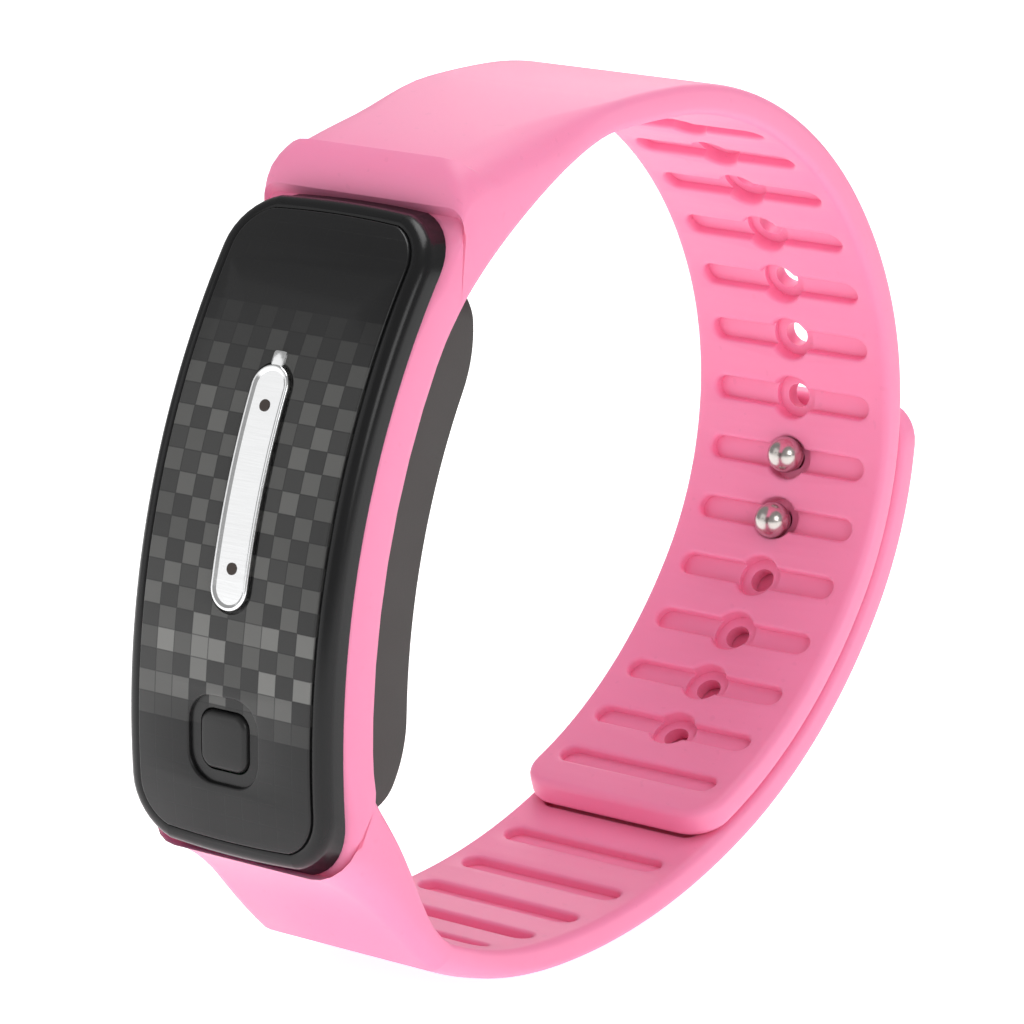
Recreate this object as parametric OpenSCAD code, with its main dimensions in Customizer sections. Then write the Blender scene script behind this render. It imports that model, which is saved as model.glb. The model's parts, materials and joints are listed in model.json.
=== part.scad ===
// Fitness tracker band: a curved tracker pod clipped in a one-piece silicone wrist band with a two-stud clasp.
// X runs across the band, Y from the pod's face to the back of the wrist, Z up.
// The band stands on its lower strap. The origin is under the middle of the closed loop.

/* [Strap] */
// Width of the strap
strap_w = 19; // [16:0.5:22]
// Thickness of the strap
strap_t = 2.4; // [2:0.1:3]
// Gap between the two layers where the straps overlap
layer_gap = 0.1; // [0.05:0.05:0.2]
// Rounding of the strap tips seen from outside
tip_r = 3; // [1:0.5:5]

/* [Loop] */
// Radius of the heel, where the lower strap leaves the pod
heel_r = 29; // [26:1:33]
// Angle of the heel
heel_angle = 32.5; // [31:0.5:34]
// Angle of the lower arc that the band stands on
bottom_angle = 29; // [27:0.5:31]
// Radius of the arc below the clasp
clasp_low_r = 40; // [36:1:45]
// Angle of the arc below the clasp
clasp_low_angle = 31.5; // [29:0.5:33]
// Angle of the back of the loop
back_angle = 58; // [56:0.5:60]
// Radius of the upper back of the loop
crown_r = 32; // [29:1:35]
// Angle of the upper back of the loop
crown_angle = 66; // [64:0.5:68]
// Radius of the top of the loop
top_r = 91; // [80:1:105]
// Angle of the top of the loop
top_angle = 16; // [15:0.5:17]
// Depth behind the lens face at which the lower strap starts
heel_in = 15; // [14:0.5:16]
// Drop of the lower strap's start below the pod's end
heel_down = 2.6; // [2:0.2:3.4]
// Depth behind the lens face at which the upper strap starts
brow_in = 7.5; // [6.5:0.5:8.5]
// Rise of the upper strap's start above the pod's end
brow_up = 3.8; // [3:0.2:4.6]
// Distance along the loop from the heel's start to the lower flex line
low_flex = 6.5; // [5:0.5:8]
// Distance along the loop from the upper strap's start to the upper flex line
high_flex = 18; // [15:1:20]
// Distance from the lower stud back to the clasp's flex line
clasp_flex = 9; // [8:0.5:12]

/* [Clasp] */
// Distance along the loop from the pod's lower end to the lower stud
stud_at = 71.1; // [68:0.1:74]
// Spacing of the grooves, of the holes and of the two studs
pitch = 5.5; // [5:0.1:5.8]
// Number of grooves above the lower stud's groove on the hole strap
grooves_above = 8; // [5:1:8]
// Number of grooves below the lower stud's groove on the hole strap, the last one without a hole
grooves_below = 5; // [3:1:5]
// Length of a groove
groove_l = 15.2; // [10:0.2:15.2]
// Width of a groove
groove_w = 2; // [1.4:0.1:2.4]
// Depth of a groove
groove_depth = 0.8; // [0.4:0.1:1]
// Diameter of a strap hole
hole_d = 2.1; // [1.8:0.1:2.4]
// Diameter of the round seat for a stud's head
seat_d = 3.8; // [3.4:0.1:4.2]
// Depth of that seat
seat_depth = 1.2; // [1:0.1:1.4]
// Diameter of a stud's ball head
ball_d = 3; // [2.7:0.1:3.1]
// Clearance of a stud's neck in a strap hole
neck_clear = 0.2; // [0.15:0.05:0.25]
// Thickness of the plate that carries the studs
plate_t = 0.7; // [0.5:0.1:0.9]
// Length of that plate along the strap
plate_l = 9.5; // [9:0.5:10]
// Width of that plate across the strap
plate_w = 8; // [6:0.5:12]
// Distance from the plate's centre to the end of the stud strap
stud_tip = 8.2; // [7.8:0.1:9]
// Distance from the last groove's centre to the end of the hole strap
hole_tip = 4.4; // [3:0.1:5]
// Number of grooves on the stud strap
under_grooves = 9; // [6:1:9]
// Distance from the pod's lower end to the first groove on the stud strap
under_first = 13; // [12:0.5:15]

/* [Pod] */
// Lean of the pod back from upright
pod_lean = 16; // [14:1:18]
// Radius of the curved front face
face_r = 60; // [55:1:70]
// Width of the pod's front
pod_w = 19.2; // [17:0.2:22]
// Length of the pod's front
pod_l = 48; // [46:1:50]
// Corner radius of the pod's front
pod_corner = 5; // [4:0.5:6]
// How far the middle of each end of the pod's front bows out
end_bow = 0.6; // [0.3:0.1:1]
// Margin between the lens and the pod's edge
lens_margin = 1.4; // [1:0.1:2]
// Thickness of the lens
lens_t = 1; // [0.8:0.1:1.2]
// Depth of the front piece, from the lens face to the band's frame
front_depth = 2.2; // [2:0.1:2.6]
// Step from the lens face back to the bezel's face
bezel_step = 0.15; // [0.1:0.05:0.3]
// Depth of the band's frame beside the pod
frame_depth = 4; // [3:0.5:5]
// Width of the pod's body where it passes through the band's frame
body_w = 15.8; // [14:0.2:16.4]
// Length of the pod's body
body_l = 41.5; // [40:0.5:42]
// Corner radius of the pod's body
body_corner = 3.5; // [3:0.5:5]
// Depth of the pod from the lens face to the back
pod_depth = 11.4; // [11:0.1:12]
// Radius of the curve that rounds the pod's back off at each end
end_r = 8.8; // [8.4:0.1:9.6]
// Wall of the pod's body
body_wall = 1; // [0.8:0.1:1.2]
// Thickness of the rear cover
cover_t = 1.3; // [1.2:0.1:1.5]
// Clearance of the pod's body in the band's frame
frame_clear = 0.1; // [0.05:0.05:0.2]

/* [Front] */
// Width of the chrome trim bar
bar_w = 3.4; // [2.6:0.1:4]
// Length of the chrome trim bar
bar_l = 18.1; // [15:0.1:19]
// Height of the trim bar above the lens
bar_proud = 0.35; // [0.2:0.05:0.5]
// Position of the bar's centre above the pod's centre
bar_up = 2.65; // [2:0.05:3]
// Distance between the two pins in the bar
pin_pitch = 12; // [10:0.5:13]
// Width of the small chrome tab above the trim bar
tab_w = 1.2; // [0.8:0.1:1.6]
// Diameter of a trim pin
pin_d = 0.9; // [0.7:0.1:1.1]
// Side of the square button
button_side = 4.4; // [3.6:0.1:4.6]
// Corner radius of the button
button_corner = 1.1; // [0.6:0.1:1.4]
// Position of the button's centre below the pod's centre
button_down = 16.1; // [15.5:0.1:16.5]
// Gap round the button
button_gap = 0.15; // [0.1:0.05:0.25]
// Travel of the button
button_travel = 0.3; // [0.2:0.05:0.4]
// Side of the shallow dish round the button
dish_side = 6.6; // [6.2:0.1:7]
// Depth of that dish
dish_depth = 0.35; // [0.2:0.05:0.5]

/* [Inside] */
// Thickness of the circuit board
board_t = 0.8; // [0.6:0.1:1]
// Depth of the circuit board's front face behind the lens face
board_depth = 5.6; // [5.5:0.1:5.8]
// Length of the circuit board
board_l = 30; // [28:0.5:31]
// Width of the battery
battery_w = 11; // [9:0.5:11.5]
// Gap between the battery and the screw posts
battery_gap = 0.3; // [0.2:0.1:2]
// Thickness of the battery
battery_t = 3; // [2.4:0.1:3]
// Diameter of the vibration motor
motor_d = 7; // [6:0.5:7.5]
// Thickness of the vibration motor
motor_t = 2.6; // [2.2:0.1:2.8]
// Wall of the motor's can
motor_wall = 0.25; // [0.2:0.05:0.3]
// Diameter of a cover screw's thread
screw_d = 1; // [0.8:0.1:1.2]
// Distance from the body's side walls to a screw's axis
screw_inset = 2; // [1.9:0.1:2.1]

/* [Hidden] */
$fn = 64;

silicone = [1.0, 0.56, 0.72];
gloss_black = [0.06, 0.06, 0.065];
matte_black = [0.12, 0.115, 0.11];
chrome_tone = [0.86, 0.87, 0.88];
steel_tone = [0.72, 0.69, 0.66];
board_green = [0.05, 0.3, 0.16];
foam_grey = [0.3, 0.3, 0.32];
gold_tone = [0.85, 0.65, 0.3];
cell_silver = [0.7, 0.71, 0.72];

cut = 1; // how far a cutter runs past the face it cuts
strap_step = 1; // longest facet along a strap
tape_t = 0.1;
slip = 0.05; // clearance a side between pieces that drop into each other

// ---- the pod's own frame: +Y goes into the wrist, +Z up along the pod, the lens face's middle is at 0 ----
half_turn = asin(pod_l / 2 / face_r);
bow_r = (pow(pod_w / 2, 2) + pow(end_bow, 2)) / (2 * end_bow);
frame_back = front_depth + frame_depth;
case_back = pod_depth - cover_t;
// the curve at each end of the pod's back meets the back smoothly at round_turn, and ends at the band's frame
end_turn = asin(body_l / 2 / (face_r - frame_back));
to_end = face_r - frame_back;
to_round = face_r - pod_depth + end_r;
round_turn = end_turn - acos((pow(to_round, 2) + pow(to_end, 2) - pow(end_r, 2)) / (2 * to_end * to_round));
function pod_to_loop(y, z) = [y * cos(pod_lean) + z * sin(pod_lean), -y * sin(pod_lean) + z * cos(pod_lean)];
function face_point(depth, turn) =
    pod_to_loop(face_r - (face_r - depth) * cos(turn), (face_r - depth) * sin(turn));

// ---- the loop: arcs end to end, measured on the face where the two straps meet ----
// Two of the radii are worked out so that the loop always closes on the pod's two ends.
loop_start = pod_to_loop(heel_in, -pod_l / 2 - heel_down);
loop_end = pod_to_loop(brow_in, pod_l / 2 + brow_up);
h0 = -heel_angle - 6;
h1 = h0 + heel_angle;
h2 = h1 + bottom_angle;
h3 = h2 + clasp_low_angle;
h4 = h3 + back_angle;
h5 = h4 + crown_angle;
h6 = h5 + top_angle;
function sweep(a, b) = [sin(b) - sin(a), cos(a) - cos(b)];
rest_gap = loop_end - loop_start - heel_r * sweep(h0, h1) - clasp_low_r * sweep(h2, h3)
    - crown_r * sweep(h4, h5) - top_r * sweep(h5, h6);
sweep_low = sweep(h1, h2);
sweep_back = sweep(h3, h4);
solve_by = sweep_low[0] * sweep_back[1] - sweep_low[1] * sweep_back[0];
bottom_r = (rest_gap[0] * sweep_back[1] - rest_gap[1] * sweep_back[0]) / solve_by;
back_r = (sweep_low[0] * rest_gap[1] - sweep_low[1] * rest_gap[0]) / solve_by;

radii = [heel_r, bottom_r, clasp_low_r, back_r, crown_r, top_r];
heads = [h0, h1, h2, h3, h4, h5, h6];
arc_total = len(radii);
function run(i) = radii[i] * (heads[i + 1] - heads[i]) * PI / 180;
function run_to(i) = i == 0 ? 0 : run_to(i - 1) + run(i - 1);
function joint_point(i) = i == 0 ? loop_start : joint_point(i - 1) + radii[i - 1] * sweep(heads[i - 1], heads[i]);
function centre(i) = joint_point(i) + radii[i] * [-sin(heads[i]), cos(heads[i])];
loop_l = run_to(arc_total);
function arc_at(s, i = 0) = i == arc_total - 1 || s < run_to(i + 1) ? i : arc_at(s, i + 1);
function heading(s) = let(i = arc_at(s)) heads[i] + (s - run_to(i)) / radii[i] * 180 / PI;
function loop_point(s, out = 0) =
    let(i = arc_at(s), h = heading(s)) centre(i) + (radii[i] + out) * [sin(h), -cos(h)];

outer_out = layer_gap + strap_t;
neck_d = hole_d - 2 * neck_clear;
upper_stud_at = stud_at + pitch;
plate_at = (stud_at + upper_stud_at) / 2;
stud_end_at = plate_at + stud_tip;
clasp_flex_at = stud_at - clasp_flex;
hole_end_at = stud_at - grooves_below * pitch - hole_tip;
high_flex_at = loop_l - high_flex;

// ---- the row's frame: the floor touches the lowest point, and Y is centred on the closed loop ----
low_z = centre(1)[1] - bottom_r - outer_out;
front_y = face_point(0, -pod_lean)[0];
back_y = centre(3)[0] + back_r + outer_out;
origin_at = [(front_y + back_y) / 2, low_z];

module in_loop() {
    translate([0, -origin_at[0], -origin_at[1]]) children();
}

module in_pod() {
    in_loop() rotate([-pod_lean, 0, 0]) children();
}

// Puts children at a distance along the loop, with +Z pointing out of the loop
module at_loop(s) {
    p = loop_point(s);
    in_loop() translate([0, p[0], p[1]]) rotate([180 + heading(s), 0, 0]) children();
}

// Turns children about the centre of the face's curve, so that +Y is square to the face there
module turned(turn) {
    translate([0, face_r, 0]) rotate([-turn, 0, 0]) translate([0, -face_r, 0]) children();
}

module at_face(turn) {
    in_pod() turned(turn) children();
}

module rounded(w, l, r) {
    square([w - 2 * r, l], center = true);
    square([w, l - 2 * r], center = true);
    for (x = [-1, 1], y = [-1, 1]) translate([x * (w / 2 - r), y * (l / 2 - r)]) circle(r);
}

// A bar of strap from s0 to s1, between two distances outward from the loop's curve
module strap_run(s0, s1, in_side, out_side) {
    steps = ceil((s1 - s0) / strap_step);
    places = [for (i = [0:steps]) s0 + (s1 - s0) * i / steps];
    in_loop() rotate([90, 0, 90]) linear_extrude(strap_w, center = true)
        polygon([for (s = places) loop_point(s, out_side),
            for (i = [steps:-1:0]) loop_point(places[i], in_side)]);
}

// Trims a strap's end to round corners; way is 1 when the strap ends towards the pod's upper end
module tip_trim(s, way) {
    reach = 10;
    at_loop(s) for (x = [-1, 1]) translate([x * (strap_w / 2 - tip_r), way * tip_r, -reach / 2])
        difference() {
            translate([x > 0 ? 0 : -tip_r - cut, way > 0 ? -tip_r - cut : 0, 0])
                cube([tip_r + cut, tip_r + cut, reach]);
            translate([0, 0, -cut]) cylinder(r = tip_r, h = reach + 2 * cut);
        }
}

// A groove across the strap, sunk from z = 0 upwards into the strap
module groove() {
    l = groove_l - groove_w;
    translate([-l / 2, -groove_w / 2, -cut]) cube([l, groove_w, groove_depth + cut]);
    for (x = [-1, 1]) translate([x * l / 2, 0, -cut]) cylinder(d = groove_w, h = groove_depth + cut);
}

// ---- the pod's curved slabs ----
module shell(d0, d1) {
    translate([0, face_r, 0]) rotate([0, 90, 0]) difference() {
        cylinder(r = face_r - d0, h = 2 * strap_w, center = true, $fn = 180);
        cylinder(r = face_r - d1, h = 2 * strap_w + 2 * cut, center = true, $fn = 180);
    }
}

module prism(w, l, r, up = 0) {
    translate([0, -2 * cut, up]) rotate([-90, 0, 0]) linear_extrude(face_r / 2) rounded(w, l, r);
}

// The pod's outline seen from the front, set in by a margin, with its two ends bowed out
module front_outline(inset) {
    l = pod_l + 2 * end_bow - 2 * inset;
    intersection() {
        rounded(pod_w - 2 * inset, l, pod_corner - inset);
        translate([0, l / 2 - bow_r + inset]) circle(bow_r - inset, $fn = 360);
        translate([0, bow_r - inset - l / 2]) circle(bow_r - inset, $fn = 360);
    }
}

module front_slab(d0, d1, inset) {
    intersection() {
        shell(d0, d1);
        translate([0, -2 * cut, 0]) rotate([-90, 0, 0]) linear_extrude(face_r / 2) front_outline(inset);
    }
}

module slab(d0, d1, w, l, r, up = 0) {
    intersection() {
        shell(d0, d1);
        prism(w, l, r, up);
    }
}

module rod_y(d, y0, y1) {
    translate([0, y0, 0]) rotate([-90, 0, 0]) cylinder(d = d, h = y1 - y0);
}

// ---- the silicone band ----
window_w = body_w + 2 * frame_clear;
window_l = body_l + 2 * frame_clear;

module band_frame() {
    side_turn = half_turn - 4;
    mid_high = loop_l - high_flex / 2;
    color(silicone) difference() {
        union() {
            in_pod() front_slab(front_depth, frame_back, (pod_w - strap_w) / 2);
            // the brow, which tapers from the pod's upper end into the hole strap
            in_loop() rotate([90, 0, 90]) linear_extrude(strap_w, center = true) intersection() {
                polygon([face_point(front_depth, half_turn), loop_point(loop_l, 1),
                    loop_point(mid_high, 2), loop_point(high_flex_at, 2), loop_point(high_flex_at),
                    loop_point(high_flex_at, -strap_t), loop_point(mid_high, -strap_t - 1.6),
                    face_point(frame_back, side_turn)]);
                translate(centre(5)) circle(top_r, $fn = 180);
            }
            // the heel, which tapers from the pod's lower end into the stud strap
            in_loop() rotate([90, 0, 90]) linear_extrude(strap_w, center = true) intersection() {
                polygon([face_point(front_depth, -half_turn), loop_point(0, 2 * outer_out),
                    loop_point(low_flex, 2 * outer_out), loop_point(low_flex, outer_out),
                    loop_point(low_flex, layer_gap), loop_point(low_flex / 2, -0.8),
                    loop_point(0, -2.6), face_point(frame_back, -side_turn)]);
                translate(centre(0)) circle(heel_r + outer_out, $fn = 180);
            }
        }
        in_pod() prism(window_w, window_l, body_corner + frame_clear);
        in_pod() slab(-2 * cut, front_depth, 2 * pod_w, pod_l + 2 * (end_bow + slip), cut);
    }
}

module hole_strap() {
    color(silicone) difference() {
        strap_run(hole_end_at, high_flex_at, -strap_t, 0);
        tip_trim(hole_end_at, -1);
        for (i = [-grooves_below:grooves_above]) at_loop(stud_at + i * pitch) {
            translate([0, 0, -strap_t]) groove();
            if (i > -grooves_below) {
                translate([0, 0, -strap_t - cut]) cylinder(d = seat_d, h = seat_depth + cut);
                translate([0, 0, -strap_t - cut]) cylinder(d = hole_d, h = strap_t + 2 * cut);
            }
        }
    }
}

module stud_strap() {
    color(silicone) difference() {
        strap_run(low_flex, clasp_flex_at, layer_gap, outer_out);
        for (i = [0:under_grooves - 1]) at_loop(under_first + i * pitch)
            translate([0, 0, layer_gap]) groove();
    }
}

// The plate fills a shallow recess in the outer face of the strap's end
module plate_shape() {
    intersection() {
        strap_run(plate_at - plate_l, plate_at + plate_l, outer_out - plate_t, outer_out);
        at_loop(plate_at) linear_extrude(4 * outer_out, center = true) rounded(plate_w, plate_l, 2);
    }
}

module stud_strap_end() {
    color(silicone) difference() {
        strap_run(clasp_flex_at, stud_end_at, layer_gap, outer_out);
        tip_trim(stud_end_at, 1);
        plate_shape();
        stud_places() translate([0, 0, -cut]) cylinder(d = neck_d, h = outer_out + cut);
    }
}

module stud_plate() {
    color(steel_tone) plate_shape();
}

// The two studs are parallel and square to the plate, so each leans a little in its hole
module stud_places() {
    at_loop(plate_at) for (y = [-1, 1]) translate([0, y * pitch / 2, 0]) children();
}

// Each stud stands on the plate, and its ball head rests on the lip of a hole, in the round seat
module clasp_studs() {
    stud_lean = asin(pitch / 2 / back_r);
    floor_r = back_r + seat_depth - strap_t;
    lip_z = floor_r * cos(stud_lean) - back_r - hole_d / 2 * sin(stud_lean);
    lip_off = hole_d / 2 * cos(stud_lean) - pitch / 2 + floor_r * sin(stud_lean);
    ball_at = lip_z - slip - sqrt(pow(ball_d / 2, 2) - pow(lip_off, 2));
    color(steel_tone) difference() {
        stud_places() translate([0, 0, ball_at]) {
            sphere(d = ball_d);
            cylinder(d = neck_d, h = outer_out - ball_at);
        }
        strap_run(plate_at - plate_l, plate_at + plate_l, outer_out - plate_t, 2 * outer_out);
    }
}

// ---- the pod's outside ----
module front_bezel() {
    color(gloss_black) in_pod() difference() {
        front_slab(bezel_step, front_depth, 0);
        front_slab(-cut, lens_t + tape_t, lens_margin - slip);
        prism(body_w - 2 * body_wall, body_l - 2 * body_wall, body_corner - body_wall);
    }
}

module front_lens() {
    color(gloss_black) in_pod() difference() {
        front_slab(0, lens_t, lens_margin);
        slab(-cut, dish_depth, dish_side, dish_side, button_corner + (dish_side - button_side) / 2,
            -button_down);
        prism(button_side + 2 * button_gap, button_side + 2 * button_gap, button_corner + button_gap,
            -button_down);
        for (u = [-1, 1]) translate([0, 0, bar_up + u * pin_pitch / 2])
            rod_y(pin_d, -cut, 2 * cut);
    }
}

module lens_tape() {
    color(matte_black) in_pod() difference() {
        front_slab(lens_t, lens_t + tape_t, lens_margin);
        prism(body_w - 2 * body_wall, body_l - 2 * body_wall, body_corner - body_wall);
    }
}

module trim_bar() {
    color(chrome_tone) in_pod() difference() {
        union() {
            slab(-bar_proud, 0, bar_w, bar_l, bar_w / 2 - 0.01, bar_up);
            slab(-bar_proud / 2, 0, tab_w, tab_w, 0.2, bar_up + (bar_l + tab_w) / 2 - 0.1);
        }
        for (u = [-1, 1]) translate([0, 0, bar_up + u * pin_pitch / 2]) rod_y(pin_d, -cut, 2 * cut);
    }
}

module trim_pins() {
    color(matte_black) in_pod() for (u = [-1, 1]) intersection() {
        shell(-bar_proud + 0.1, lens_t + 0.6);
        translate([0, 0, bar_up + u * pin_pitch / 2]) rod_y(pin_d, -cut, 3 * cut);
    }
}

// The cap, its retaining flange behind the lens, and the stem that reaches the switch
flange_d0 = lens_t + tape_t;
flange_t = 0.5;
function face_depth_at(up, depth) = face_r - sqrt(pow(face_r - depth, 2) - up * up);
stem_from = face_depth_at(button_down, flange_d0 + flange_t / 2);
switch_t = 0.55;
plunger_proud = 0.4;
plunger_tip = board_depth - switch_t - plunger_proud;

module button_cap() {
    color(matte_black) in_pod() {
        slab(0, flange_d0 + flange_t, button_side, button_side, button_corner, -button_down);
        slab(flange_d0, flange_d0 + flange_t, button_side + 1, button_side + 1, button_corner + 0.5,
            -button_down);
        translate([0, 0, -button_down]) rod_y(1.6, stem_from, plunger_tip);
    }
}

// Everything past the curve that rounds the back off at each end, or past a curve a wall inside it
module past_ends(wall = 0) {
    for (way = [-1, 1]) turned(way * round_turn) translate([0, pod_depth - end_r, 0]) difference() {
        translate([-body_w, 0, way > 0 ? 0 : -2 * end_r]) cube([2 * body_w, 2 * end_r, 2 * end_r]);
        rotate([0, 90, 0]) cylinder(r = end_r - wall, h = 4 * body_w, center = true);
    }
}

head_d = 1.7;
head_t = 0.5;
post_d = 2.5;
screw_turn = round_turn - asin(head_d / (face_r - pod_depth));
module screw_places() {
    for (t = [-1, 1], x = [-1, 1]) translate([x * (body_w / 2 - screw_inset), 0, 0])
        turned(t * screw_turn) children();
}

module body_case() {
    color(matte_black) in_pod() difference() {
        intersection() {
            shell(front_depth, case_back);
            union() {
                difference() {
                    prism(body_w, body_l, body_corner);
                    difference() {
                        prism(body_w - 2 * body_wall, body_l - 2 * body_wall, body_corner - body_wall);
                        past_ends(body_wall);
                    }
                }
                intersection() {
                    prism(body_w, body_l, body_corner);
                    screw_places() rod_y(post_d, case_back - 3.2, case_back + cut);
                }
            }
        }
        past_ends();
        screw_places() rod_y(screw_d, case_back - 2.7, case_back + cut);
    }
}

module rear_cover() {
    color(matte_black) in_pod() difference() {
        slab(case_back, pod_depth, body_w, body_l, body_corner);
        past_ends();
        screw_places() rod_y(screw_d + 2 * slip, case_back - cut, pod_depth + cut);
        screw_places() rod_y(head_d + 2 * slip, pod_depth - head_t - 0.1, pod_depth + cut);
        seal_ring();
        contact_places() rod_y(contact_d, case_back - cut, pod_depth + cut);
    }
}

seal_t = 0.3;
seal_in = 0.3;
seal_w = 0.4;
seal_back = case_back + seal_t;
seal_past = sqrt(pow(end_r, 2) - pow(end_r - pod_depth + seal_back, 2));
seal_turn = round_turn + atan(seal_past / (face_r - seal_back));
module seal_ring() {
    w = body_w - 2 * seal_in;
    l = 2 * ((face_r - seal_back) * sin(seal_turn) - 2 * seal_in);
    difference() {
        slab(case_back, seal_back, w, l, body_corner - seal_in);
        prism(w - 2 * seal_w, l - 2 * seal_w, body_corner - seal_in - seal_w);
    }
}

module cover_seal() {
    color(foam_grey) in_pod() seal_ring();
}

module cover_screws() {
    color(steel_tone) in_pod() screw_places() {
        rod_y(screw_d, case_back - 2.5, pod_depth - head_t);
        difference() {
            rod_y(head_d, pod_depth - head_t - 0.1, pod_depth - 0.1);
            translate([-head_d / 4, pod_depth - 0.3, -0.1]) cube([head_d / 2, 1, 0.2]);
            translate([-0.1, pod_depth - 0.3, -head_d / 4]) cube([0.2, 1, head_d / 2]);
        }
    }
}

contact_d = 1.6;
contact_pitch = 4;
contact_turn = -8;
module contact_places() {
    for (x = [-1, 1]) translate([x * contact_pitch / 2, 0, 0]) turned(contact_turn) children();
}

module charging_contacts() {
    color(gold_tone) in_pod() contact_places() rod_y(contact_d, case_back - 0.4, pod_depth - 0.05);
}

// ---- inside the pod ----
board_w = body_w - 2 * body_wall - 0.6;
board_low = -body_l / 2 + body_wall + 0.3;
board_back = board_depth + board_t;
cell_front = board_back + 0.5;
motor_up = board_low + 1.5 + motor_d / 2;
cell_low = battery_gap + post_d / 2 - (face_r - case_back) * sin(screw_turn);

module main_board() {
    color(board_green) in_pod() translate([0, board_depth, board_low + board_l / 2])
        rotate([-90, 0, 0]) linear_extrude(board_t) rounded(board_w, board_l, 2.6);
}

module board_part(w, l, t, up, side = 0) {
    in_pod() translate([side - w / 2, board_depth - t, up - l / 2]) cube([w, t, l]);
}

module tact_switch() {
    color(steel_tone) difference() {
        board_part(3, 3, switch_t, -button_down);
        in_pod() translate([0, 0, -button_down]) rod_y(1.5, 0, board_depth + cut);
    }
}

module switch_plunger() {
    color(matte_black) in_pod() translate([0, 0, -button_down])
        rod_y(1.4, plunger_tip, plunger_tip + plunger_proud + switch_t - button_travel - slip);
}

screen_turn = 13.5;
screen_l = 9;
screen_w = 12;
screen_front = lens_t + 0.3;
screen_back = screen_front + 1.1;
module display_panel() {
    color(gloss_black) at_face(screen_turn) translate([-screen_w / 2, screen_front, -screen_l / 2])
        cube([screen_w, screen_back - screen_front, screen_l]);
}

module display_gasket() {
    rim = 0.8;
    bow = face_depth_at(screen_l / 2, lens_t) - lens_t;
    color(foam_grey) at_face(screen_turn) difference() {
        translate([-screen_w / 2, lens_t + bow, -screen_l / 2]) cube([screen_w, screen_front - lens_t - bow, screen_l]);
        translate([rim - screen_w / 2, 0, rim - screen_l / 2])
            cube([screen_w - 2 * rim, screen_back, screen_l - 2 * rim]);
    }
}

flex_up = 9.4;
flex_w = 6;
flex_t = 0.15;
flex_foot = 2.2;
module display_flex() {
    flex_front = face_depth_at(flex_up, screen_back + slip);
    color(gold_tone) in_pod() {
        translate([-flex_w / 2, flex_front, flex_up]) cube([flex_w, board_depth - flex_front, flex_t]);
        translate([-flex_w / 2, board_depth - flex_t, flex_up - flex_foot])
            cube([flex_w, flex_t, flex_foot + flex_t / 2]);
    }
}

module radio_chip() {
    color(matte_black) board_part(5, 5, 0.9, 3);
}

module motion_sensor() {
    color(matte_black) board_part(2.5, 2.5, 0.9, -4, 3);
}

module chip_antenna() {
    color(cell_silver) board_part(6, 1.6, 1, -9);
}

module battery() {
    color(cell_silver) in_pod() translate([0, cell_front, 0])
        rotate([-90, 0, 0]) linear_extrude(battery_t) rounded(battery_w, -2 * cell_low, 1);
}

lead_d = 0.6;
module battery_leads() {
    y = cell_front + battery_t / 2;
    color("firebrick") in_pod() for (x = [-1, 1]) translate([x, 0, cell_low - 1]) {
        rod_y(lead_d, board_back, y);
        translate([0, y, 0]) sphere(d = lead_d);
        translate([0, y, 0]) cylinder(d = lead_d, h = 1);
    }
}

motor_y = cell_front;
module motor_can() {
    color(steel_tone) in_pod() translate([0, 0, motor_up]) difference() {
        rod_y(motor_d, motor_y, motor_y + motor_t);
        rod_y(motor_d - 2 * motor_wall, motor_y - cut, motor_y + motor_t - motor_wall);
    }
}

module motor_base() {
    color(steel_tone) in_pod() translate([0, 0, motor_up])
        rod_y(motor_d - 2 * motor_wall, motor_y, motor_y + motor_wall);
}

shaft_d = 0.8;
module motor_shaft() {
    color(steel_tone) in_pod() translate([0, 0, motor_up])
        rod_y(shaft_d, motor_y + motor_wall, motor_y + motor_t - motor_wall);
}

module motor_rotor() {
    rotor_d = motor_d - 2 * motor_wall - 0.5;
    y0 = motor_y + motor_wall + 0.2;
    y1 = motor_y + motor_t - motor_wall - 0.2;
    color(gold_tone) in_pod() translate([0, 0, motor_up]) difference() {
        union() {
            intersection() {
                rod_y(rotor_d, y0, y1);
                translate([-rotor_d, 0, -rotor_d]) cube([2 * rotor_d, 4 * rotor_d, rotor_d]);
            }
            rod_y(2, y0, y1);
        }
        rod_y(shaft_d + 0.12, 0, 3 * motor_y);
    }
}

band_frame();
hole_strap();
stud_strap();
stud_strap_end();
stud_plate();
clasp_studs();
front_bezel();
front_lens();
lens_tape();
trim_bar();
trim_pins();
button_cap();
tact_switch();
switch_plunger();
display_panel();
display_gasket();
display_flex();
main_board();
radio_chip();
motion_sensor();
chip_antenna();
battery();
battery_leads();
motor_can();
motor_base();
motor_rotor();
motor_shaft();
body_case();
rear_cover();
cover_seal();
charging_contacts();
cover_screws();
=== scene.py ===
import json
import math

import bpy
from mathutils import Matrix, Vector


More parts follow.
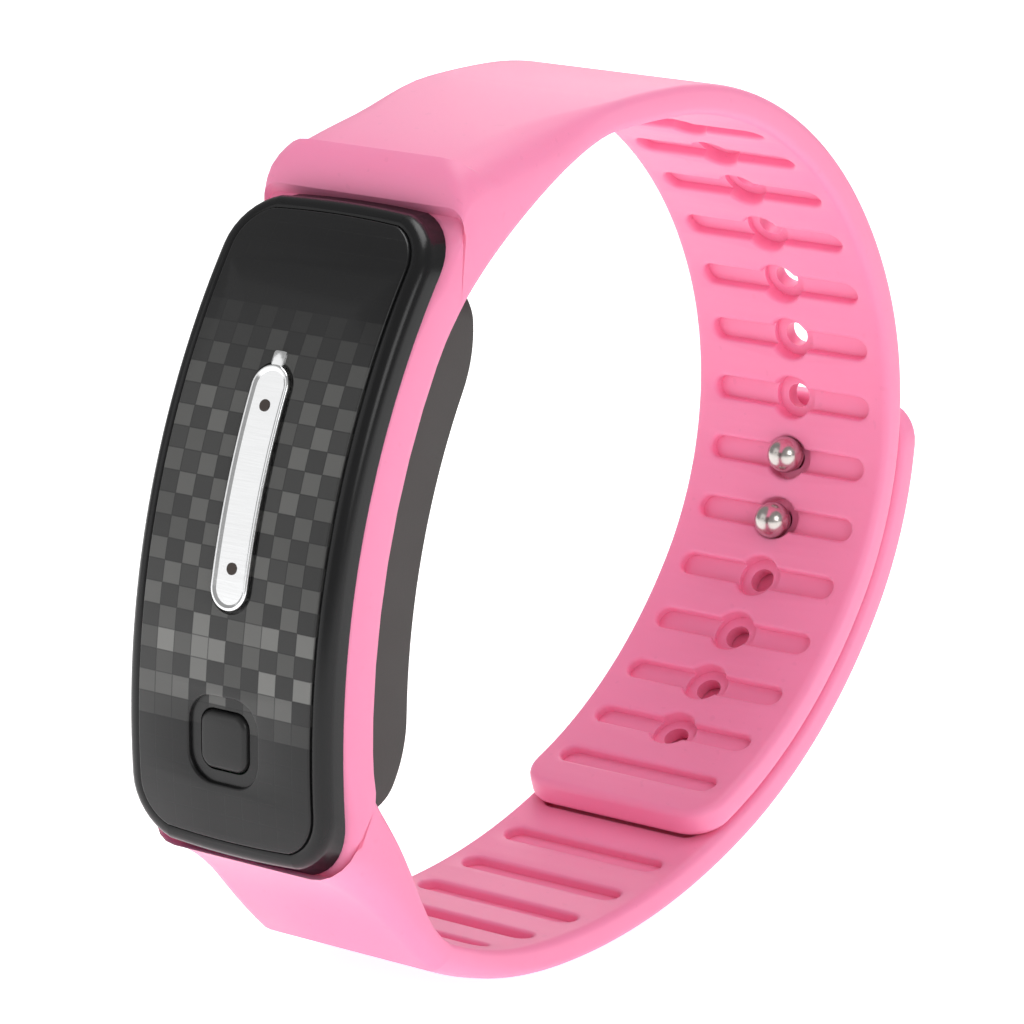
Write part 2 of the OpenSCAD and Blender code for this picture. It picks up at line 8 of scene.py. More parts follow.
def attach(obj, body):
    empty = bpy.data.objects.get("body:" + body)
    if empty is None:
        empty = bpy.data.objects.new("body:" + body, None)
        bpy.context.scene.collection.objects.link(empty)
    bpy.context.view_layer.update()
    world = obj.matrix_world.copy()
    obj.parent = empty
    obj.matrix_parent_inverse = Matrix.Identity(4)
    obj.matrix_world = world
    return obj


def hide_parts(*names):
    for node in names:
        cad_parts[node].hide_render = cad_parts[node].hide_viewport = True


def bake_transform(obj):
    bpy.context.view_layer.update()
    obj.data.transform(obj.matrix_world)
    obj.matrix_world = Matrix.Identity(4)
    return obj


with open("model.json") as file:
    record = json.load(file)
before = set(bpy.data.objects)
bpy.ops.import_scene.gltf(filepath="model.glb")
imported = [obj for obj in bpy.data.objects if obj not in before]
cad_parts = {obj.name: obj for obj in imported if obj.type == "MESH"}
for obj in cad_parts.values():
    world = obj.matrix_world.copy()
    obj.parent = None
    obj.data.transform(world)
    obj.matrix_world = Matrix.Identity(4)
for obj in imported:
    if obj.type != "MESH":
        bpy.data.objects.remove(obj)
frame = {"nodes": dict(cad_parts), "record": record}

bl_info = {
    "name": "Fitness tracker band",
    "version": (1, 0, 0),
    "blender": (4, 5, 0),
    "location": "View3D > Sidebar > Tracker band",
    "description": "Dresses the packed fitness tracker band: silicone straps, glossy pod front and finishes",
    "category": "Object",
}

MM = 0.001
ACROSS_ROW = Vector((1, 0, 0))
ACROSS_FLAT = Vector((0, 0, 1))
ROUND_STEPS = 5
CUT = 1 * MM  # how far a cutting tool runs past the face it cuts
SHY = 0.01 * MM  # keeps a full rounding just short of meeting itself
MOUTH_R = 0.3 * MM  # rounding of the groove mouths
SEAM_OUTER_R, SEAM_INNER_R = 1.85 * MM, 0.4 * MM  # edge roundings where the heel meets the stud strap
FLAT_HALF = 8.4 * MM  # half the width of a strap's face between its rounded long edges
GROOVES_BELOW, GROOVES_ABOVE = 5, 8  # grooves on the hole strap either side of the lower stud's own
UNDER_GROOVES = 9  # grooves on the stud strap

# The nose over the pod's upper end: depth behind the lens, rise above the pod's end and outer rounding, in mm
NOSE = ((7.75, 3.86, 3.2), (7.36, 3.34, 2.8), (7.11, 2.74, 2.3), (7.02, 2.09, 1.8), (7.05, 1.2, 1.4),
        (7.2, 0.3, 1.3), (7.9, -0.3, 1.3))
# The frame beside the pod: turns along the face outside and inside, in degrees, and outer rounding, in mm
SIDES = ((21.5, 17.1, 2.2), (18.5, 16.2, 1.0), (15, 14.4, 0.5),
         *((turn, turn, 0.4) for turn in range(11, -14, -4)), (-16.5, -15.6, 0.7), (-20, -17.2, 1.6))
# Square lamps: name, place, side and power in watts
LAMPS = (("top", (0.0, 0.12, 0.65), 0.4, 2.15), ("side", (0.55, -0.25, 0.3), 0.25, 0.7),
         ("back", (-0.3, 0.5, 0.35), 0.3, 0.7), ("front", (-0.351, -0.45, 0.218), 0.42, 0.36))


# ---- sizes and colours a user would change ----

def length(name, text, size):
    return bpy.props.FloatProperty(name=name, description=text, default=size * MM, min=0, unit="LENGTH",
                                   precision=5)


def angle(name, text, degrees):
    return bpy.props.FloatProperty(name=name, description=text, default=math.radians(degrees),
                                   subtype="ANGLE")


def colour(name, text, rgb):
    return bpy.props.FloatVectorProperty(name=name, description=text, default=rgb, size=3, subtype="COLOR",
                                         min=0, max=1)


class BandSizes(bpy.types.PropertyGroup):
    strap_w: length("Strap width", "Width of the strap", 19)
    strap_t: length("Strap thickness", "Thickness of the strap", 2.4)
    layer_gap: length("Layer gap", "Gap between the two straps where they overlap", 0.1)
    heel_r: length("Heel radius", "Radius where the lower strap leaves the pod", 29)
    clasp_low_r: length("Lower back radius", "Radius of the arc below the clasp", 40)
    crown_r: length("Crown radius", "Radius of the upper back of the loop", 32)
    top_r: length("Top radius", "Radius of the top of the loop", 91)
    heel_angle: angle("Heel angle", "Angle of the heel", 32.5)
    bottom_angle: angle("Bottom angle", "Angle of the arc the band stands on", 29)
    clasp_low_angle: angle("Lower back angle", "Angle of the arc below the clasp", 31.5)
    back_angle: angle("Back angle", "Angle of the back of the loop", 58)
    crown_angle: angle("Crown angle", "Angle of the upper back", 66)
    top_angle: angle("Top angle", "Angle of the top", 16)
    heel_in: length("Heel depth", "Depth behind the lens at which the lower strap starts", 15)
    heel_down: length("Heel drop", "Drop of the lower strap's start below the pod's end", 2.6)
    brow_in: length("Brow depth", "Depth behind the lens at which the upper strap starts", 7.5)
    brow_up: length("Brow rise", "Rise of the upper strap's start above the pod's end", 3.8)
    low_flex: length("Lower flex line", "Distance from the heel's start to the lower flex line", 6.5)
    high_flex: length("Upper flex line", "Distance from the upper strap's start to the upper flex line", 18)
    clasp_flex: length("Clasp flex line", "Distance from the lower stud back to the clasp's flex line", 9)
    stud_at: length("Lower stud", "Distance along the loop to the lower stud", 71.1)
    pitch: length("Pitch", "Spacing of the grooves, the holes and the studs", 5.5)
    groove_l: length("Groove length", "Length of a groove", 15.2)
    groove_w: length("Groove width", "Width of a groove", 2)
    groove_depth: length("Groove depth", "Depth of a groove", 0.8)
    hole_d: length("Hole", "Diameter of a strap hole", 2.1)
    seat_d: length("Seat", "Diameter of the round seat for a stud's head", 3.8)
    seat_depth: length("Seat depth", "Depth of that seat", 1.2)
    hole_tip: length("Hole strap tip", "Distance from the last groove to the hole strap's end", 4.4)
    stud_tip: length("Stud strap tip", "Distance from the clasp plate's centre to the stud strap's end", 8.2)
    under_first: length("First groove", "Distance to the first groove on the stud strap", 13)
    tip_r: length("Tip rounding", "Rounding of the strap tips", 3)
    edge_r: length("Edge rounding", "Rounding of the straps' long edges", 0.65)
    plate_l: length("Plate length", "Length of the clasp plate", 9.5)
    plate_w: length("Plate width", "Width of the clasp plate", 8)
    plate_t: length("Plate thickness", "Thickness of the clasp plate", 0.7)


class PodSizes(bpy.types.PropertyGroup):
    lean: angle("Lean", "Lean of the pod back from upright", 16)
    face_r: length("Face radius", "Radius of the curved front face", 60)
    front_w: length("Front width", "Width of the pod's front", 19.2)
    front_l: length("Front length", "Length of the pod's front at its corners", 48)
    corner: length("Front corner", "Corner radius of the pod's front", 5)
    end_bow: length("End bow", "How far the middle of each end bows out", 0.6)
    margin: length("Lens margin", "Margin between the lens and the pod's edge", 1.4)
    lens_t: length("Lens thickness", "Thickness of the lens", 1)
    front_depth: length("Front depth", "Depth of the front piece", 2.2)
    bezel_step: length("Bezel step", "Step from the lens face to the bezel's face", 0.15)
    frame_depth: length("Frame depth", "Depth of the silicone frame beside the pod", 4)
    shoulder: length("Shoulder", "Rounding of the bezel's outer edge", 1.0)
    body_w: length("Body width", "Width of the pod's body", 15.8)
    body_l: length("Body length", "Length of the pod's body", 41.5)
    body_corner: length("Body corner", "Corner radius of the pod's body", 3.5)
    bar_w: length("Bar width", "Width of the chrome bar", 3.4)
    bar_l: length("Bar length", "Length of the chrome bar", 18.1)
    bar_up: length("Bar place", "Height of the bar's centre above the pod's centre", 2.65)
    bar_proud: length("Bar height", "Height of the bar above the lens", 0.35)
    tab_w: length("Tab", "Side of the small tab above the bar", 1.2)
    button_side: length("Button", "Side of the square button", 4.4)
    button_corner: length("Button corner", "Corner radius of the button", 1.1)
    button_down: length("Button place", "Distance of the button's centre below the pod's centre", 16.1)
    dish_side: length("Dish", "Side of the shallow dish round the button", 6.6)
    dish_depth: length("Dish depth", "Depth of that dish", 0.35)
    square: length("Print square", "Side of a square of the print under the lens", 1.64)


class Colours(bpy.types.PropertyGroup):
    silicone: colour("Silicone", "Colour of the silicone band", (1.0, 0.275, 0.475))
    gloss: colour("Gloss black", "Colour of the glossy black plastic", (0.009, 0.009, 0.0095))
    light_square: colour("Light squares", "Colour of the lighter print squares", (0.125, 0.125, 0.12))
    dark_square: colour("Dark squares", "Colour of the darker print squares", (0.052, 0.052, 0.051))
    case: colour("Case", "Colour of the matt rear case", (0.042, 0.036, 0.034))


# ---- the loop and the pod's face, worked out from the driving sizes ----

def sweep(a, b):
    return Vector((math.sin(b) - math.sin(a), math.cos(a) - math.cos(b)))


class Shape:
    """Where things are in the side view: the pod's own frame, the face's curve and the loop of the straps."""

    def __init__(self, band, pod):
        self.band, self.pod = band, pod
        self.origin = Vector((0, 0))
        start = self.in_pod(band.heel_in, -pod.front_l / 2 - band.heel_down)
        end = self.in_pod(band.brow_in, pod.front_l / 2 + band.brow_up)
        turns = [band.heel_angle, band.bottom_angle, band.clasp_low_angle, band.back_angle,
                 band.crown_angle, band.top_angle]
        self.heads = [-band.heel_angle - math.radians(6)]
        for turn in turns:
            self.heads.append(self.heads[-1] + turn)
        h = self.heads
        rest = (end - start - band.heel_r * sweep(h[0], h[1]) - band.clasp_low_r * sweep(h[2], h[3])
                - band.crown_r * sweep(h[4], h[5]) - band.top_r * sweep(h[5], h[6]))
        low, back = sweep(h[1], h[2]), sweep(h[3], h[4])
        by = low.x * back.y - low.y * back.x
        bottom_r = (rest.x * back.y - rest.y * back.x) / by
        back_r = (low.x * rest.y - low.y * rest.x) / by
        self.radii = [band.heel_r, bottom_r, band.clasp_low_r, back_r, band.crown_r, band.top_r]
        self.joins, self.runs = [start], [0.0]
        for i, r in enumerate(self.radii):
            self.joins.append(self.joins[-1] + r * sweep(h[i], h[i + 1]))
            self.runs.append(self.runs[-1] + r * turns[i])
        self.loop_l = self.runs[-1]
        self.outer_out = band.layer_gap + band.strap_t
        floor = self.centre(1).y - bottom_r - self.outer_out
        front = self.on_face(0, -pod.lean).x
        rear = self.centre(3).x + back_r + self.outer_out
        self.origin = Vector(((front + rear) / 2, floor))
        self.high_flex_at = self.loop_l - band.high_flex
        self.clasp_flex_at = band.stud_at - band.clasp_flex
        self.plate_at = band.stud_at + band.pitch / 2
        self.hole_end = band.stud_at - GROOVES_BELOW * band.pitch - band.hole_tip
        self.stud_end = self.plate_at + band.stud_tip
        self.half_turn = math.asin(pod.front_l / 2 / pod.face_r)
        self.path_turn = math.radians(32)

    def in_pod(self, depth, up):
        """A place in the pod's frame, as (y, z) in the row frame."""
        c, s = math.cos(self.pod.lean), math.sin(self.pod.lean)
        return Vector((depth * c + up * s, up * c - depth * s)) - self.origin

    def on_face(self, depth, turn):
        r = self.pod.face_r
        return self.in_pod(r - (r - depth) * math.cos(turn), (r - depth) * math.sin(turn))

    def centre(self, i):
        return self.joins[i] + self.radii[i] * Vector((-math.sin(self.heads[i]), math.cos(self.heads[i])))

    def on_loop(self, s, out=0.0):
        """A place at distance s along the loop and a distance outward from it."""
        i = max([k for k in range(len(self.radii)) if s >= self.runs[k]] or [0])
        head = self.heads[i] + (s - self.runs[i]) / self.radii[i]
        outward = Vector((math.sin(head), -math.cos(head)))
        return self.centre(i) + (self.radii[i] + out) * outward - self.origin

    def loop_path(self):
        steps = 400
        return [self.on_loop(self.loop_l * i / steps) for i in range(steps + 1)]

    def face_path(self):
        """The face's curve from above the pod's upper end down to below its lower end."""
        steps = 200
        return [self.on_face(0, self.path_turn * (1 - 2 * i / steps)) for i in range(steps + 1)]

    def face_at(self, up):
        """Where a height along the face's curve lies on the face's path."""
        return self.pod.face_r * self.path_turn - up

    def face_run(self, half, depth=0.0):
        """Length along the face's curve of a straight half length, where its end is at a depth."""
        return self.pod.face_r * math.asin(half / (self.pod.face_r - depth))

    def pod_matrix(self):
        """Takes the pod's frame, with +Y into the wrist and +Z up along the pod, to the row frame."""
        zero = self.in_pod(0, 0)
        return Matrix.Translation((0, zero.x, zero.y)) @ Matrix.Rotation(-self.pod.lean, 4, "X")


# ---- modelling steps ----

def deselect():
    if bpy.context.mode != "OBJECT":
        bpy.ops.object.mode_set(mode="OBJECT")
    bpy.ops.object.select_all(action="DESELECT")


def take(piece):
    """Leaves only this piece selected and active, in object mode."""
    deselect()
    piece.select_set(True)
    bpy.context.view_layer.objects.active = piece


def settle(piece):
    """Puts the piece's place, turn and scale into its mesh."""
    take(piece)
    bpy.ops.object.transform_apply(location=True, rotation=True, scale=True)


def block(name, low, high):
    deselect()
    bpy.ops.mesh.primitive_cube_add(size=1, location=[(a + b) / 2 for a, b in zip(low, high)])
    piece = bpy.context.object
    piece.name = name
    piece.scale = [b - a for a, b in zip(low, high)]
    settle(piece)
    return piece


def disc(name, x, z, d, y0, y1, sides=48):
    """A round bar through the thickness of a flat piece."""
    deselect()
    bpy.ops.mesh.primitive_cylinder_add(vertices=sides, radius=d / 2, depth=y1 - y0,
                                        location=(x, (y0 + y1) / 2, z), rotation=(math.pi / 2, 0, 0))
    piece = bpy.context.object
    piece.name = name
    settle(piece)
    return piece


def pick(piece, kind, test):
    """Enters edit mode on the piece with only the edges, faces or vertices that pass the test selected."""
    take(piece)
    bpy.ops.object.mode_set(mode="EDIT")
    bpy.ops.mesh.select_mode(type=kind)
    bpy.ops.mesh.select_all(action="DESELECT")
    bpy.ops.object.mode_set(mode="OBJECT")
    mesh = piece.data
    if kind == "VERT":
        for vertex in mesh.vertices:
            vertex.select = test(vertex.co)
    elif kind == "EDGE":
        for edge in mesh.edges:
            edge.select = test(*[mesh.vertices[v].co for v in edge.vertices])
    else:
        for face in mesh.polygons:
            face.select = test(face)
    bpy.ops.object.mode_set(mode="EDIT")


def bevel(piece, test, size, steps=3, clamp=False):
    pick(piece, "EDGE", test)
    bpy.ops.mesh.bevel(offset=size, segments=steps, affect="EDGES", clamp_overlap=clamp)
    bpy.ops.object.mode_set(mode="OBJECT")


def same(a, b):
    return abs(a - b) < 1e-6


def at_depth(y):
    """A test for the edges of a flat piece that lie at one depth."""
    return lambda a, b: same(a.y, y) and same(b.y, y)


def along_strap(cut_at):
    """A test for the edges round a flat strap's faces, apart from those at its cut end."""
    return lambda a, b: same(a.y, b.y) and not (same(a.x, cut_at) and same(b.x, cut_at))


def upright(a, b):
    """An edge that runs through a flat piece's thickness."""
    return same(a.x, b.x) and same(a.z, b.z)


def combine(piece, tool, how="DIFFERENCE"):
    step = piece.modifiers.new("combine", "BOOLEAN")
    step.operation, step.object, step.solver = how, tool, "EXACT"
    take(piece)
    bpy.ops.object.modifier_apply(modifier=step.name)
    bpy.data.objects.remove(tool)


def rounded_block(name, x, z, l, w, y0, y1, r, steps=8):
    piece = block(name, (x - l / 2, y0, z - w / 2), (x + l / 2, y1, z + w / 2))
    bevel(piece, upright, r, steps)
    return piece


def slices(piece, gap=1.0 * MM):
    """Cuts a flat piece across at even steps, so that it bends smoothly."""
    xs = [v.co.x for v in piece.data.vertices]
    low, high = min(xs), max(xs)
    count = int((high - low) / gap)
    take(piece)
    bpy.ops.object.mode_set(mode="EDIT")
    for i in range(1, count):
        bpy.ops.mesh.select_all(action="SELECT")
        bpy.ops.mesh.bisect(plane_co=(low + (high - low) * i / count, 0, 0), plane_no=(1, 0, 0))
    bpy.ops.object.mode_set(mode="OBJECT")


def wrap(piece, path):
    """Bends a flat piece along a path in the side view. X runs along the path, +Y inward and Z across."""
    data = bpy.data.curves.new("path", "CURVE")
    data.dimensions = "2D"
    line = data.splines.new("POLY")
    line.points.add(len(path) - 1)
    for point, place in zip(line.points, path):
        point.co = (place.x, place.y, 0, 1)
    guide = bpy.data.objects.new("path", data)
    bpy.context.scene.collection.objects.link(guide)
    step = piece.modifiers.new("bend", "CURVE")
    step.object, step.deform_axis = guide, "POS_X"
    take(piece)
    bpy.ops.object.modifier_apply(modifier=step.name)
    bpy.data.objects.remove(guide)
    piece.matrix_world = Matrix(((0, 0, 1, 0), (1, 0, 0, 0), (0, 1, 0, 0), (0, 0, 0, 1)))
    settle(piece)


def smooth(piece, degrees=32):
    take(piece)
    bpy.ops.object.shade_smooth_by_angle(angle=math.radians(degrees))


def ring(outer, inner, across, width, outer_r, inner_r):
    """A rounded outline across the band, from its outer to its inner face."""
    deselect()
    bpy.ops.mesh.primitive_plane_add(size=1)
    piece = bpy.context.object
    through = inner - outer
    piece.scale = (width, through.length, 1)
    settle(piece)
    for side, size in ((-1, outer_r), (1, inner_r)):
        pick(piece, "VERT", lambda co: co.y * side > 0.49 * through.length)
        bpy.ops.mesh.bevel(offset=size, segments=ROUND_STEPS, affect="VERTICES")
        bpy.ops.object.mode_set(mode="OBJECT")
    y = through.normalized()
    z = across.cross(y)
    turn = Matrix((across, y, z)).transposed().to_4x4()
    piece.matrix_world = Matrix.Translation((outer + inner) / 2) @ turn
    settle(piece)
    return piece


def loft(name, rings):
    """Skins a row of rings into one closed piece."""
    piece = rings[0]
    piece.name = name
    for count, following in enumerate(rings[1:], 1):
        corners = len(following.data.vertices)
        if count < len(rings) - 1:
            pick(following, "FACE", lambda face: True)
            bpy.ops.mesh.delete(type="ONLY_FACE")
        take(piece)
        following.select_set(True)
        bpy.ops.object.join()
        first = len(piece.data.vertices) - 2 * corners
        bpy.ops.object.mode_set(mode="EDIT")
        bpy.ops.mesh.select_mode(type="EDGE")
        bpy.ops.mesh.select_all(action="DESELECT")
        bpy.ops.object.mode_set(mode="OBJECT")
        for edge in piece.data.edges:
            edge.select = min(edge.vertices) >= first
        bpy.ops.object.mode_set(mode="EDIT")
        bpy.ops.mesh.bridge_edge_loops()
        bpy.ops.object.mode_set(mode="OBJECT")
    face_out(piece)
    return piece


def face_out(piece):
    take(piece)
    bpy.ops.object.mode_set(mode="EDIT")
    bpy.ops.mesh.select_all(action="SELECT")
    bpy.ops.mesh.remove_doubles(threshold=1e-7)
    bpy.ops.mesh.normals_make_consistent(inside=False)
    bpy.ops.object.mode_set(mode="OBJECT")


def ease(t):
    t = min(1.0, max(0.0, t))
    return t * t * (3 - 2 * t)


def mix(a, b, t):
    return a + (b - a) * t


def curve_point(ways, t):
    """A place on the curve that four way points steer."""
    a, b, c, d = ways
    u = 1 - t
    return a * u ** 3 + b * 3 * u * u * t + c * 3 * u * t * t + d * t ** 3


def row(place):
    """A side-view place as a point in the row frame."""
    return Vector((0, place.x, place.y))


def finish_piece(piece, slot_name, nodes):
    piece.data.materials.clear()
    piece.data.materials.append(finish(slot_name))
    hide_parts(*nodes)


# ---- finishes ----

def sums(how, swapped=False, *more):
    """A method that passes a value through one Math node, after another value where it is swapped."""
    def method(self, *others):
        terms = (*others, self) if swapped else (self, *others)
        sockets = [getattr(term, "socket", term) for term in (*terms, *more)]
        return self.maker.value("ShaderNodeMath", {"operation": how}, sockets)
    return method


class Value:
    """A number that changes over the surface. Sums on it add the Math nodes."""

    __add__ = sums("ADD")
    __radd__ = sums("ADD", True)
    __sub__ = sums("SUBTRACT")
    __rsub__ = sums("SUBTRACT", True)
    __mul__ = sums("MULTIPLY")
    __rmul__ = sums("MULTIPLY", True)
    __truediv__ = sums("DIVIDE")
    __rtruediv__ = sums("DIVIDE", True)
    __gt__ = sums("GREATER_THAN")
    floor = sums("FLOOR")
    part = sums("FRACT")
    size = sums("ABSOLUTE")
    odd = sums("FLOORED_MODULO", False, 2.0)
    at_least_0 = sums("MAXIMUM", False, 0.0)
    at_most_1 = sums("MINIMUM", False, 1.0)

    def __init__(self, maker, socket):
        self.maker, self.socket = maker, socket

    def capped(self):
        return self.at_least_0().at_most_1()


class Maker:
    """Builds one material's nodes."""

    def __init__(self, name, **shader):
        self.material = bpy.data.materials.new(name)
        self.material.use_nodes = True
        self.tree = self.material.node_tree
        self.shader = self.tree.nodes["Principled BSDF"]
        for socket, value in shader.items():
            self.shader.inputs[socket.replace("_", " ")].default_value = value

    def node(self, kind, settings=None, inputs=()):
        made = self.tree.nodes.new(kind)
        for key, value in (settings or {}).items():
            setattr(made, key, value)
        pairs = inputs.items() if isinstance(inputs, dict) else enumerate(inputs)
        for key, value in pairs:
            if isinstance(value, Value):
                value = value.socket
            if isinstance(value, bpy.types.NodeSocket):
                self.tree.links.new(value, made.inputs[key])
            else:
                made.inputs[key].default_value = value
        return made

    def value(self, kind, settings=None, inputs=(), output=0):
        return Value(self, self.node(kind, settings, inputs).outputs[output])

    def place(self):
        return self.node("ShaderNodeTexCoord").outputs["Object"]

    def noise(self, scale, detail=3.0, place=None, rough=0.5):
        return self.value("ShaderNodeTexNoise", {}, {"Vector": place or self.place(), "Scale": scale,
                          "Detail": detail, "Roughness": rough})

    def between(self, share, a, b):
        """A colour between two colours."""
        inputs = {0: share, 6: a if isinstance(a, (Value, bpy.types.NodeSocket)) else (*a, 1),
                  7: b if isinstance(b, (Value, bpy.types.NodeSocket)) else (*b, 1)}
        return self.node("ShaderNodeMix", {"data_type": "RGBA"}, inputs).outputs[2]

    def feed(self, **sockets):
        for name, value in sockets.items():
            self.tree.links.new(getattr(value, "socket", value), self.shader.inputs[name.replace("_", " ")])

    def bump(self, height, depth, strength=1.0):
        made = self.node("ShaderNodeBump", {}, {"Strength": strength, "Distance": depth, "Height": height})
        self.feed(Normal=made.outputs["Normal"])


def shaded(rgb, amount):
    return tuple(c * amount for c in rgb)


def grained(name, rgb, rough, grain=4000.0, depth=0.01 * MM, spread=0.12, **shader):
    """A finish whose colour and gloss drift a little, over a fine grain."""
    m = Maker(name, **shader)
    drift = m.noise(220.0, 4.0)
    grains = m.noise(grain, 2.0)
    lighter = tuple(min(1.0, c * (1 + spread)) for c in rgb)
    m.feed(Base_Color=m.between(drift, shaded(rgb, 1 - spread), lighter),
           Roughness=rough * (0.85 + drift * 0.3))
    m.bump(grains, depth, 0.5)
    return m.material


def brushed(name, rgb, rough, scale=(300.0, 9000.0, 9000.0)):
    """Metal with fine lines along one way."""
    m = Maker(name, Metallic=1.0)
    lines = m.node("ShaderNodeMapping", {}, {"Vector": m.place(), "Scale": scale}).outputs[0]
    streak = m.noise(1.0, 3.0, lines)
    m.feed(Base_Color=m.between(streak, shaded(rgb, 0.86), rgb), Roughness=rough * (0.75 + streak * 0.5))
    m.bump(streak, 0.004 * MM, 0.4)
    return m.material


def silicone_finish(rgb):
    """Soft satin rubber: a fine matt skin, with the faint cloudiness and dust of moulded silicone."""
    m = Maker("silicone", Sheen_Weight=0.15, Sheen_Roughness=0.4, Subsurface_Weight=0.12,
              Subsurface_Radius=(2.0 * MM, 0.8 * MM, 1.0 * MM), Subsurface_Scale=1.0)
    cloud = m.noise(90.0, 4.0)
    skin = m.noise(7000.0, 2.0)
    speck = m.noise(1500.0, 0.0) > 0.8
    base = m.between(cloud, shaded(rgb, 0.95), tuple(min(1.0, c * 1.05) for c in rgb))
    m.feed(Base_Color=m.between(speck * 0.1, base, shaded(rgb, 0.6)), Roughness=0.40 + cloud * 0.14)
    m.bump(skin + cloud * 0.5, 0.012 * MM, 0.5)
    return m.material


def print_finish(colours):
    """Gloss black lens with a chequered print that fades out towards both ends."""
    m = Maker("lens_print", Specular_IOR_Level=0.3, Coat_Weight=0.15, Coat_Roughness=0.08)
    place = m.node("ShaderNodeSeparateXYZ", {}, [m.node("ShaderNodeUVMap", {"uv_map": "print"}).outputs[0]])
    across, up = Value(m, place.outputs[0]), Value(m, place.outputs[1])
    column, line = across.floor(), (up + 0.25).floor()
    light = (column + line).odd()
    cell = m.node("ShaderNodeCombineXYZ", {}, [column, line, 0.0]).outputs[0]
    chance = m.value("ShaderNodeTexWhiteNoise", {"noise_dimensions": "3D"}, {"Vector": cell})
    ridge = (((across.part() - 0.5).size() > 0.47) + (((up + 0.25).part() - 0.5).size() > 0.47)).capped()
    height = line + 0.5
    fade = ((10.2 - height) / 5.0).capped() * ((height + 8.9) / 2.6).capped()
    low = ((-3.2 - height) / 2.0).capped()
    shown = fade * (0.55 + chance * 0.45) * (1 - ridge * 0.55)
    square = m.between(light, colours.dark_square, colours.light_square)
    bright = m.between((chance > 0.5) * low, square, shaded(colours.light_square, 1.9))
    dull = m.noise(900.0, 3.0)
    m.feed(Base_Color=m.between(shown, colours.gloss, bright),
           Roughness=0.30 + shown * (0.16 - light * 0.06) + dull * 0.06)
    m.bump(light * fade - ridge, 0.01 * MM, 0.35)
    return m.material


def board_finish():
    """Green solder mask with fine copper tracks showing through."""
    m = Maker("board")
    place = m.node("ShaderNodeSeparateXYZ", {}, [m.place()])
    tracks = ((Value(m, place.outputs[0]) / (0.8 * MM)).part() - 0.5).size() > 0.38
    patchy = m.noise(180.0, 1.0) > 0.45
    m.feed(Base_Color=m.between(tracks * patchy, (0.012, 0.12, 0.05), (0.06, 0.26, 0.09)),
           Roughness=0.32 + m.noise(2500.0) * 0.15)
    m.bump(tracks * patchy, 0.03 * MM, 0.6)
    return m.material


def finish(slot_name):
    """The material of one of the record's slots, made once."""
    made = bpy.data.materials.get(slot_name)
    if made:
        return made
    c = bpy.context.scene.tracker_colours
    makers = {
        "silicone": lambda: silicone_finish(tuple(c.silicone)),
        "lens_print": lambda: print_finish(c),
        "board": board_finish,
        "clasp_metal": lambda: brushed(slot_name, (0.62, 0.58, 0.55), 0.24, (4000.0, 4000.0, 4000.0)),
        "chrome_trim": lambda: brushed(slot_name, (0.96, 0.965, 0.97), 0.2),
        "switch_metal": lambda: brushed(slot_name, (0.55, 0.55, 0.55), 0.3),
        "cell_foil": lambda: brushed(slot_name, (0.6, 0.61, 0.63), 0.35),
        "rotor_metal": lambda: brushed(slot_name, (0.62, 0.48, 0.25), 0.32),
        "gold": lambda: brushed(slot_name, (0.86, 0.6, 0.22), 0.2, (5000.0, 5000.0, 5000.0)),
        "gloss_black": lambda: grained(slot_name, tuple(c.gloss), 0.24, depth=0.003 * MM,
                                       Specular_IOR_Level=0.3),
        "dark_pin": lambda: grained(slot_name, (0.03, 0.018, 0.012), 0.25),
        "button_black": lambda: grained(slot_name, (0.018, 0.018, 0.018), 0.36, Specular_IOR_Level=0.35),
        "case_black": lambda: grained(slot_name, tuple(c.case), 0.55, grain=6000.0, depth=0.02 * MM),
        "tape": lambda: grained(slot_name, (0.03, 0.03, 0.03), 0.7),
        "switch_plunger": lambda: grained(slot_name, (0.05, 0.05, 0.05), 0.5),
        "display_glass": lambda: grained(slot_name, (0.01, 0.01, 0.014), 0.12),
        "foam": lambda: grained(slot_name, (0.12, 0.12, 0.13), 0.9, grain=2500.0, depth=0.06 * MM),
        "flex_film": lambda: grained(slot_name, (0.6, 0.33, 0.07), 0.35),
        "chip": lambda: grained(slot_name, (0.02, 0.02, 0.02), 0.5, grain=6000.0, depth=0.02 * MM),
        "ceramic": lambda: grained(slot_name, (0.68, 0.68, 0.64), 0.45),
        "lead_sleeve": lambda: grained(slot_name, (0.5, 0.03, 0.03), 0.4),
        "seal": lambda: grained(slot_name, (0.05, 0.05, 0.05), 0.75),
    }
    return makers[slot_name]()


def shape():
    return Shape(bpy.context.scene.tracker_band, bpy.context.scene.tracker_pod)


# ---- the pieces ----

